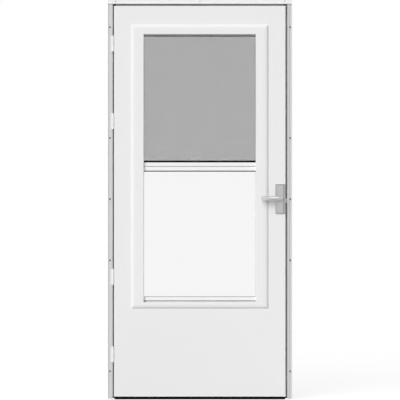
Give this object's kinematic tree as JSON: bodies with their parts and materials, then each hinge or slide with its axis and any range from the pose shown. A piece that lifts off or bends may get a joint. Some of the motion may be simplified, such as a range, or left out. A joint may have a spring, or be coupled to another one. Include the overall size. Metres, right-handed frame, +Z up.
{
  "type": "storm door",
  "caption": "White storm door hung in a slim flanged metal frame, with insect screen above glass, lever latch, surface hinges and a rubber bottom sweep.",
  "frame": {"origin": "on the back face of the hinge-side flange, at its foot, on the line of its screws", "axes": "+X across the opening from the hinge side to the latch side, +Y from outside to inside, +Z up"},
  "size_m": [0.936, 0.14, 2.0335],
  "materials": {
    "white_slab": "satin",
    "white_vinyl": "satin",
    "white_aluminium": "satin",
    "satin_nickel": "brushed",
    "zinc_steel": "satin",
    "glass": "clear",
    "screen_mesh": "woven",
    "seal": "matt",
    "grey_gasket": "matt",
    "black_spline": "matt",
    "sweep_rubber": "matt"
  },
  "bodies": {
    "frame": {"hinge_side_z_bar": "white_aluminium", "latch_side_z_bar": "white_aluminium", "header_z_bar": "white_aluminium", "hinge_side_weatherstrip": "seal", "latch_side_weatherstrip": "seal", "header_weatherstrip": "seal", "strike_plate": "zinc_steel", "jamb_hinge_leaf_1": "white_aluminium", "jamb_hinge_leaf_2": "white_aluminium", "jamb_hinge_leaf_3": "white_aluminium", "jamb_hinge_leaf_4": "white_aluminium"},
    "door": {"door_slab": "white_slab", "sweep_carrier": "white_aluminium", "bottom_sweep": "sweep_rubber", "window_moulding": "white_vinyl", "inside_retainer": "white_vinyl", "hinge_side_track": "white_vinyl", "latch_side_track": "white_vinyl", "window_head": "white_vinyl", "window_sill": "white_vinyl", "screen_frame": "white_aluminium", "insect_screen": "screen_mesh", "screen_spline": "black_spline", "lower_sash_frame": "white_aluminium", "lower_glazing_gasket": "grey_gasket", "lower_glass": "glass", "vent_sash_frame": "white_aluminium", "vent_glazing_gasket": "grey_gasket", "vent_glass": "glass", "outside_plate": "satin_nickel", "inside_plate": "satin_nickel", "latch_case": "zinc_steel", "door_hinge_leaf_1": "white_aluminium", "door_hinge_leaf_2": "white_aluminium", "door_hinge_leaf_3": "white_aluminium", "door_hinge_leaf_4": "white_aluminium", "hinge_pin_1": "zinc_steel", "hinge_pin_2": "zinc_steel", "hinge_pin_3": "zinc_steel", "hinge_pin_4": "zinc_steel"},
    "lever": {"outside_lever": "satin_nickel", "inside_lever": "satin_nickel", "spindle": "zinc_steel"},
    "latch": {"latch_bolt": "zinc_steel"}
  },
  "joints": [
    {"name": "door_hinge", "type": "hinge", "parent": "frame", "child": "door", "pos_m": [0.01725, -0.0062, 1.015], "axis": [0, 0, -1], "range_deg": [0, 90]},
    {"name": "lever_turn", "type": "hinge", "parent": "door", "child": "lever", "pos_m": [0.862, 0.01, 1.018], "axis": [0, -1, 0], "range_deg": [0, 45], "stiffness_Nm_per_rad": 0.6, "springref_deg": -34.38},
    {"name": "latch_slide", "type": "slide", "parent": "door", "child": "latch", "axis": [-1, 0, 0], "range_m": [0, 0.007]}
  ],
  "couplings": [
    {"joint": "latch_slide", "follows": "lever_turn", "m_per_rad": 0.0089}
  ]
}
